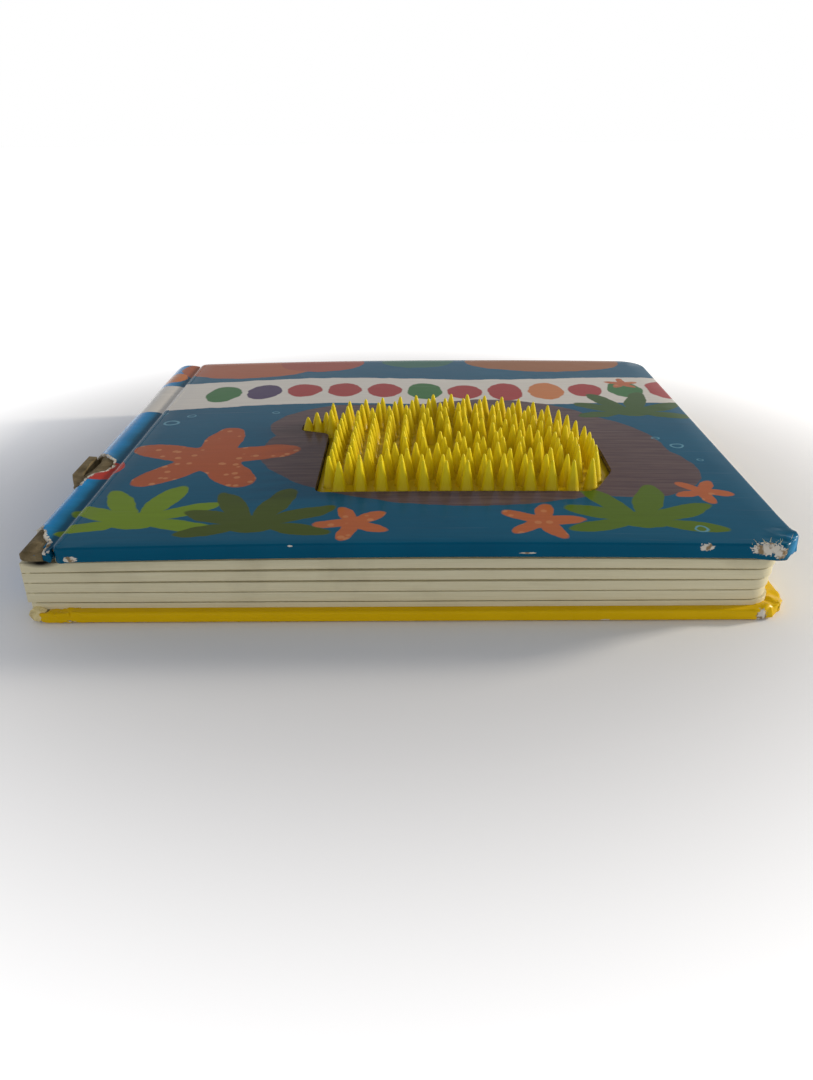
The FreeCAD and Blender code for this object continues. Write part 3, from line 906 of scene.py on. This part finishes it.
def star(tree, place, x, y, radius, turn):
    """1 inside a five-armed star with rounded arms."""
    local = add_node(tree, "ShaderNodeMapping",
                     {"Vector": place, "Location": (x, y, 0), "Rotation": (0, 0, math.radians(turn)),
                      "Scale": (radius, radius, 1)}, vector_type="TEXTURE")
    axes = add_node(tree, "ShaderNodeSeparateXYZ", {0: local.outputs[0]})
    angle = add_node(tree, "ShaderNodeMath", {0: axes.outputs["Y"], 1: axes.outputs["X"]}, operation="ARCTAN2")
    arms = add_node(tree, "ShaderNodeMath", {0: angle.outputs[0], 1: 5.0}, operation="MULTIPLY")
    wave = add_node(tree, "ShaderNodeMath", {0: arms.outputs[0]}, operation="COSINE")
    away = add_node(tree, "ShaderNodeVectorMath", {0: local.outputs[0]}, operation="LENGTH")
    past = add_node(tree, "ShaderNodeMath", {0: wave.outputs[0], 1: -0.3, 2: away.outputs["Value"]},
                    operation="MULTIPLY_ADD")
    return inside_line(tree, past.outputs[0], 0.68, 0.4 / radius)


# %% The seabed, ink by ink
PEBBLE_PITCH = 17.5
BAND_Y, BAND_HALF = 48.5, 19.0
SEAWEED = ((-80, -82, "#6F8A1C"), (-44, -86, "#46551C"), (92, 20, "#3F5B2C"), (72, -84, "#566F1E"))
BLADES = ((0, 0, 17, 12, 0), (-12, 5, 22, 8, 155), (-8, 13, 24, 8, 118), (5, 14, 26, 9, 72), (13, 6, 24, 8, 28),
          (14, -4, 20, 7, -14), (-13, -4, 20, 7, 195))
STARS = ((-68, -30, 33, 14, "#A8542F"), (-14, -86, 12, 40, "#B3623A"), (42, -85, 13, 5, "#B3623A"),
         (96, -62, 10, 60, "#B3623A"), (97, 60, 8, 20, "#B3623A"))
MOUNDS = ((-74, 92, 66, 40, "#A65A38"), (-40, 96, 40, 30, "#9C4A3A"), (6, 97, 34, 22, "#2F6658"),
          (66, 96, 74, 34, "#96603A"))
ROCK = ((22, -22, 146, 104, 0), (70, -40, 62, 54, -20), (-22, 6, 60, 46, 15), (40, 14, 70, 40, -12))
BUBBLES = ((-92, 10, 6), (-86, 18, 3.5), (-98, 22, 2.6), (100, -20, 5), (94, -12, 3), (104, -34, 2.4),
           (-52, 20, 3), (88, -90, 4))


def seabed(tree):
    """Printed seabed colour, with painted light on the spine and crushed corner, before any wear."""
    place, flat, drawn = print_places(tree, 1.6)
    cloud = add_node(tree, "ShaderNodeTexNoise", {"Vector": flat, "Scale": 0.03, "Detail": 4})
    brush_space = add_node(tree, "ShaderNodeVectorMath", {0: flat, 1: (0.05, 0.7, 1)}, operation="MULTIPLY")
    brush = add_node(tree, "ShaderNodeTexNoise", {"Vector": brush_space.outputs[0], "Scale": 1.0, "Detail": 4})
    water = ink(tree, linear("#004D6A"), "#025C7A", cloud.outputs["Fac"])
    axes = add_node(tree, "ShaderNodeSeparateXYZ", {0: drawn})
    # Painted light: the sheet is painted a clear, bright blue over the spine's shoulder, where light
    # falls on it, and painted shade deepens it into the groove beside the cover.
    spine_painted_light = inside_line(tree, axes.outputs["X"], -104.6, 2.6)
    colour = ink(tree, water, "#008ECE", spine_painted_light)

    for x, y, wide, high, tint in MOUNDS:
        colour = ink(tree, colour, tint, oval(tree, drawn, x, y, wide, high))

    swell = add_node(tree, "ShaderNodeMath", {0: axes.outputs["X"], 1: 0.045}, operation="MULTIPLY")
    swell = add_node(tree, "ShaderNodeMath", {0: swell.outputs[0]}, operation="SINE")
    height = add_node(tree, "ShaderNodeMath", {0: swell.outputs[0], 1: 2.6, 2: axes.outputs["Y"]},
                      operation="MULTIPLY_ADD")
    height = add_node(tree, "ShaderNodeMath", {0: height.outputs[0], 1: BAND_Y}, operation="SUBTRACT")
    apart = add_node(tree, "ShaderNodeMath", {0: height.outputs[0]}, operation="ABSOLUTE")
    colour = ink(tree, colour, "#D4CFC6", inside_line(tree, apart.outputs[0], BAND_HALF, 0.3))

    # One pebble is drawn in every cell of the band; the cell's number picks its size and its ink.
    cells = add_node(tree, "ShaderNodeMath", {0: axes.outputs["X"], 1: PEBBLE_PITCH}, operation="DIVIDE")
    number = add_node(tree, "ShaderNodeMath", {0: cells.outputs[0]}, operation="FLOOR")
    dice = add_node(tree, "ShaderNodeTexWhiteNoise", {"W": number.outputs[0]}, noise_dimensions="1D")
    across = add_node(tree, "ShaderNodeMath", {0: cells.outputs[0]}, operation="FRACT")
    across = add_node(tree, "ShaderNodeMath", {0: across.outputs[0], 1: 2.0, 2: -1.0}, operation="MULTIPLY_ADD")
    size = add_node(tree, "ShaderNodeMapRange", {"Value": dice.outputs["Value"], "To Min": 11.0, "To Max": 15.5})
    up = add_node(tree, "ShaderNodeMath", {0: height.outputs[0], 1: size.outputs[0]}, operation="DIVIDE")
    pebble = add_node(tree, "ShaderNodeCombineXYZ", {0: across.outputs[0], 1: up.outputs[0]})
    pebble = add_node(tree, "ShaderNodeVectorMath", {0: pebble.outputs[0]}, operation="LENGTH")
    in_pebble = inside_line(tree, pebble.outputs["Value"], 0.86, 0.03)
    on_cover = inside_line(tree, axes.outputs["X"], -88, 0.3)
    in_pebble = add_node(tree, "ShaderNodeMath", {0: in_pebble, 1: on_cover}, operation="SUBTRACT", use_clamp=True)
    inks = add_node(tree, "ShaderNodeValToRGB", {0: dice.outputs["Value"]})
    ramp = inks.color_ramp
    ramp.interpolation = "CONSTANT"
    ramp.elements[0].color = linear("#A23A3A")
    ramp.elements[1].position = 0.25
    ramp.elements[1].color = linear("#4B3A5E")
    for position, tint in ((0.45, "#38703C"), (0.62, "#C47A48"), (0.82, "#A23A3A")):
        ramp.elements.new(position).color = linear(tint)
    colour = ink(tree, colour, inks.outputs["Color"], in_pebble.outputs[0])

    rock = any_of(tree, [oval(tree, drawn, *shape) for shape in ROCK])
    grain = add_node(tree, "ShaderNodeMapRange", {"Value": brush.outputs["Fac"], "From Min": 0.4, "From Max": 0.62})
    stone = ink(tree, linear("#57464A"), "#645351", grain.outputs[0])
    colour = ink(tree, colour, stone, rock)

    for x, y, tint in SEAWEED:
        blades = [oval(tree, drawn, x + dx, y + dy, wide, high, turn) for dx, dy, wide, high, turn in BLADES]
        colour = ink(tree, colour, tint, any_of(tree, blades))

    spots = add_node(tree, "ShaderNodeTexVoronoi", {"Vector": flat, "Scale": 0.24})
    dots = inside_line(tree, spots.outputs["Distance"], 0.26, 0.05)
    for x, y, radius, turn, tint in STARS:
        skin = ink(tree, linear(tint), "#C07A4E", dots)
        colour = ink(tree, colour, skin, star(tree, drawn, x, y, radius, turn))

    for x, y, size_mm in BUBBLES:
        ring = add_node(tree, "ShaderNodeMath", {0: oval(tree, drawn, x, y, size_mm, size_mm),
                                                 1: oval(tree, drawn, x, y, size_mm * 0.7, size_mm * 0.7)},
                        operation="SUBTRACT")
        colour = ink(tree, colour, "#5F98AC", ring.outputs[0])

    # The spine carries two spots of warm ink from the ends of its own pattern. The crushed corner
    # gets a painted highlight: the film that still holds there is painted a clear, bright blue
    # where light falls on its tip.
    colour = ink(tree, colour, "#B4382C", oval(tree, drawn, -105, -38, 17, 17))
    colour = ink(tree, colour, "#C4743C", oval(tree, drawn, -108, 78, 13, 15))
    colour = ink(tree, colour, "#0A86BC", fleck(tree, place, (113.2, -97, 22.4), (6.5, 9, 9)))
    strokes = add_node(tree, "ShaderNodeMapRange", {"Value": brush.outputs["Fac"], "From Min": 0.3, "From Max": 0.7,
                                                    "To Min": 0.95, "To Max": 1.05})
    shaded = add_node(tree, "ShaderNodeVectorMath", {0: colour, 3: strokes.outputs[0]}, operation="SCALE")
    return place, flat, shaded.outputs[0]


# %% Film, scratches and bare fibres over a print
PAPER_WHITE = "#D8D1C2"
CHIPS = (((-94.0, -100, 21.2), (5.4, 2, 2.6)), ((86.4, -99.8, 24.1), (5.6, 2.2, 3)),
         ((103.4, -99.6, 23.4), (12, 5, 4.8)), ((107.6, -99.4, 22.0), (6, 5, 5)),
         ((36, -100, 22.6), (7, 0.9, 0.7)), ((-31, -100, 25.2), (2.2, 0.8, 0.8)), ((-99.5, -99.6, 23.6), (3, 2.2, 2)))


def film_over(tree, shader, place, flat, colour, film_rough, chips):
    """Joins a print to its shader under worn gloss film: light scratches, chips and torn edges."""
    shred = add_node(tree, "ShaderNodeTexNoise", {"Vector": place, "Scale": 1400, "Detail": 4})
    scratch_space = add_node(tree, "ShaderNodeMapping", {"Vector": flat, "Rotation": (0, 0, 0.5),
                                                         "Scale": (0.02, 1.1, 1)})
    streaks = add_node(tree, "ShaderNodeTexNoise", {"Vector": scratch_space.outputs[0], "Scale": 1.0, "Detail": 3})
    region = add_node(tree, "ShaderNodeTexNoise", {"Vector": flat, "Scale": 0.025, "Detail": 1})
    lines = add_node(tree, "ShaderNodeMapRange", {"Value": streaks.outputs["Fac"], "From Min": 0.66,
                                                  "From Max": 0.72})
    worn = add_node(tree, "ShaderNodeMapRange", {"Value": region.outputs["Fac"], "From Min": 0.45,
                                                 "From Max": 0.62, "To Max": 0.22})
    scratched = add_node(tree, "ShaderNodeMath", {0: lines.outputs[0], 1: worn.outputs[0]}, operation="MULTIPLY")
    colour = ink(tree, colour, "#8F9A9C", scratched.outputs[0])

    torn = add_node(tree, "ShaderNodeAttribute", attribute_name="bare").outputs["Fac"]
    marks = [torn]
    for chip in chips:
        marks.append(fleck(tree, place, *chip))
    bare = any_of(tree, marks)
    ragged_edge = add_node(tree, "ShaderNodeMath", {0: shred.outputs["Fac"], 1: 1.1, 2: bare},
                           operation="MULTIPLY_ADD")
    bare = add_node(tree, "ShaderNodeMapRange", {"Value": ragged_edge.outputs[0], "From Min": 1.02,
                                                 "From Max": 1.12}).outputs[0]
    pulp_tone = add_node(tree, "ShaderNodeTexNoise", {"Vector": place, "Scale": 420, "Detail": 3})
    pulp_tone = add_node(tree, "ShaderNodeMapRange", {"Value": pulp_tone.outputs["Fac"], "From Min": 0.52,
                                                      "From Max": 0.62, "To Min": 1.0, "To Max": 0.0})
    fibre = ink(tree, linear("#8F7A5C"), PAPER_WHITE, pulp_tone.outputs[0])
    colour = ink(tree, colour, fibre, bare)
    tree.links.new(colour, shader.inputs["Base Color"])

    haze = add_node(tree, "ShaderNodeMapRange", {"Value": region.outputs["Fac"], "From Min": 0.3, "From Max": 0.7,
                                                 "To Min": film_rough, "To Max": film_rough + 0.08})
    rough = add_node(tree, "ShaderNodeMix", {0: bare, 2: haze.outputs[0], 3: 0.85})
    tree.links.new(rough.outputs[0], shader.inputs["Roughness"])
    # Film over board is never quite flat: swells of a few millimetres bend its reflections.
    swell = add_node(tree, "ShaderNodeTexNoise", {"Vector": place, "Scale": 160, "Detail": 2})
    fuzz = add_node(tree, "ShaderNodeMath", {0: shred.outputs["Fac"], 1: bare}, operation="MULTIPLY")
    relief = add_node(tree, "ShaderNodeMath", {0: fuzz.outputs[0], 1: 4.0, 2: swell.outputs["Fac"]},
                      operation="MULTIPLY_ADD")
    bump = add_node(tree, "ShaderNodeBump", {"Height": relief.outputs[0], "Strength": 0.12, "Distance": 0.0004})
    tree.links.new(bump.outputs[0], shader.inputs["Normal"])


front_print, tree, shader = new_material("seabed_print_under_gloss_film")
shader.inputs["Specular IOR Level"].default_value = 0.06
film_over(tree, shader, *seabed(tree), 0.16, CHIPS)

back_print, tree, shader = new_material("yellow_print_under_gloss_film")
shader.inputs["Specular IOR Level"].default_value = 0.1
place, flat, drawn = print_places(tree, 1)
tone = add_node(tree, "ShaderNodeTexNoise", {"Vector": flat, "Scale": 0.05, "Detail": 5})
yellow = ink(tree, linear("#DCB000"), "#EAC00A", tone.outputs["Fac"])
BACK_CHIPS = (((105.5, -99.6, 1.6), (4.5, 4, 5)), ((112.5, -93, 2.6), (2, 5, 1.2)), ((-97, -99.9, 0.8), (4, 1, 0.8)),
              ((60, -100, 0.4), (4, 0.8, 0.6)))
film_over(tree, shader, place, flat, yellow, 0.2, BACK_CHIPS)
print("print nodes", len(front_print.node_tree.nodes), "and", len(back_print.node_tree.nodes))

# %% [markdown]
# ## Board, pages and silicone
# Page board is cream where it is cut, with fine streaks along each layer and a little dirt. The
# cover boards are greyboard, which is pressed from waste paper: grey-brown with specks and short
# fibres. The patch is satin silicone, with painted shade that darkens it from the tips down to
# the roots of its spikes. One pale shade each could do, but their cut edges face the camera, so
# each gets its own grain.

# %% Cut page board
page_board, tree, shader = new_material("cream_page_board")
place = add_node(tree, "ShaderNodeTexCoord").outputs["Object"]
layers = add_node(tree, "ShaderNodeVectorMath", {0: place, 1: (60, 60, 3200)}, operation="MULTIPLY")
streak = add_node(tree, "ShaderNodeTexNoise", {"Vector": layers.outputs[0], "Scale": 1.0, "Detail": 5})
smudge = add_node(tree, "ShaderNodeTexNoise", {"Vector": place, "Scale": 45, "Detail": 5})
cream = ink(tree, linear("#D6CBA3"), "#EDE5C4", streak.outputs["Fac"])
dirt = add_node(tree, "ShaderNodeMapRange", {"Value": smudge.outputs["Fac"], "From Min": 0.52, "From Max": 0.75,
                                             "To Max": 0.4})
cream = ink(tree, cream, "#B2A684", dirt.outputs[0])
# Painted shade: the first leaf is painted near-black where the torn spine leaves it bare, in
# place of the dark gap under the spine board.
painted_gap_shade = fleck(tree, place, (-104.2, -97, 18.5), (9.5, 8, 2.6))
tree.links.new(ink(tree, cream, "#0C0A07", painted_gap_shade), shader.inputs["Base Color"])
shader.inputs["Roughness"].default_value = 0.62
shader.inputs["Specular IOR Level"].default_value = 0.25
bump = add_node(tree, "ShaderNodeBump", {"Height": streak.outputs["Fac"], "Strength": 0.25, "Distance": 0.00015})
tree.links.new(bump.outputs[0], shader.inputs["Normal"])

# %% Raw greyboard
greyboard, tree, shader = new_material("raw_greyboard")
place = add_node(tree, "ShaderNodeTexCoord").outputs["Object"]
fibres = add_node(tree, "ShaderNodeTexNoise", {"Vector": place, "Scale": 900, "Detail": 5, "Distortion": 0.8})
blotch = add_node(tree, "ShaderNodeTexNoise", {"Vector": place, "Scale": 180, "Detail": 4})
colour = ink(tree, linear("#66583F"), "#8F8060", fibres.outputs["Fac"])
patchy = add_node(tree, "ShaderNodeMapRange", {"Value": blotch.outputs["Fac"], "From Min": 0.45, "From Max": 0.7})
tree.links.new(ink(tree, colour, "#54482F", patchy.outputs[0]), shader.inputs["Base Color"])
shader.inputs["Roughness"].default_value = 0.9
shader.inputs["Specular IOR Level"].default_value = 0.15
bump = add_node(tree, "ShaderNodeBump", {"Height": fibres.outputs["Fac"], "Strength": 0.6, "Distance": 0.0004})
tree.links.new(bump.outputs[0], shader.inputs["Normal"])

# %% Torn paper and pulp
torn_pulp, tree, shader = new_material("torn_paper_pulp")
place = add_node(tree, "ShaderNodeTexCoord").outputs["Object"]
fluff = add_node(tree, "ShaderNodeTexNoise", {"Vector": place, "Scale": 700, "Detail": 4})
stain = add_node(tree, "ShaderNodeTexNoise", {"Vector": place, "Scale": 260, "Detail": 3})
colour = ink(tree, linear("#E6CF86"), "#F6E9BC", fluff.outputs["Fac"])
stained = add_node(tree, "ShaderNodeMapRange", {"Value": stain.outputs["Fac"], "From Min": 0.5, "From Max": 0.66,
                                                "To Max": 0.45})
tree.links.new(ink(tree, colour, "#8C7448", stained.outputs[0]), shader.inputs["Base Color"])
shader.inputs["Roughness"].default_value = 0.9
shader.inputs["Specular IOR Level"].default_value = 0.1
bump = add_node(tree, "ShaderNodeBump", {"Height": fluff.outputs["Fac"], "Strength": 0.7, "Distance": 0.0005})
tree.links.new(bump.outputs[0], shader.inputs["Normal"])

# %% Moulded silicone
silicone, tree, shader = new_material("satin_yellow_silicone")
place = add_node(tree, "ShaderNodeTexCoord").outputs["Object"]
axes = add_node(tree, "ShaderNodeSeparateXYZ", {0: place})
# Painted shade: the silicone is darker down at the roots of the spikes and lighter towards their tips.
painted_root_shade = add_node(tree, "ShaderNodeMapRange", {"Value": axes.outputs["Z"], "From Min": 0.0225, "From Max": 0.0335})
cloudy = add_node(tree, "ShaderNodeTexNoise", {"Vector": place, "Scale": 240, "Detail": 3})
colour = ink(tree, linear("#C2A200"), "#F2DE12", painted_root_shade.outputs[0])
faint = add_node(tree, "ShaderNodeMapRange", {"Value": cloudy.outputs["Fac"], "From Min": 0.4, "From Max": 0.7,
                                              "To Max": 0.3})
tree.links.new(ink(tree, colour, "#DCBC04", faint.outputs[0]), shader.inputs["Base Color"])
shader.inputs["Roughness"].default_value = 0.38
shader.inputs["Specular IOR Level"].default_value = 0.2
bump = add_node(tree, "ShaderNodeBump", {"Height": cloudy.outputs["Fac"], "Strength": 0.08, "Distance": 0.0003})
tree.links.new(bump.outputs[0], shader.inputs["Normal"])

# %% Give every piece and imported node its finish
nodes = frame["nodes"]
for piece, material in (
        (front_paper, front_print), (spine_paper, front_print), (front_groove, front_print),
        (back_paper, back_print), (back_groove, back_print), (foot_paper, back_print), (head_paper, front_print),
        (leaves, page_board),
        (patch, silicone), (pulp, torn_pulp), (corner_fibres, torn_pulp), (spine_fibres, torn_pulp),
        (nodes["front_board"], greyboard), (nodes["back_board"], greyboard), (nodes["spine_board"], greyboard),
        (nodes["front_liner"], page_board), (nodes["back_liner"], page_board)):
    piece.data.materials.clear()
    piece.data.materials.append(material)

# %% Rides
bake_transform(front_groove)
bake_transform(back_groove)
for piece, body, slot, nodes in (
        (pulp, "book_block", "page_board", []),
        (foot_paper, "book_block", "back_print", []),
        (head_paper, "book_block", "front_print", []),
        (corner_fibres, "front_cover", "page_board", []),
        (spine_fibres, "book_block", "page_board", []),
        (spine_paper, "book_block", "front_print", ["spine_wrap"]),
        (leaves, "book_block", "page_board", ["page_block"]),
        (patch, "front_cover", "silicone", ["touch_patch"]),
        (front_paper, "front_cover", "front_print", ["front_wrap"]),
        (back_paper, "back_cover", "back_print", ["back_wrap"])):
    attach(piece, body)
    if nodes:
        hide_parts(*nodes)
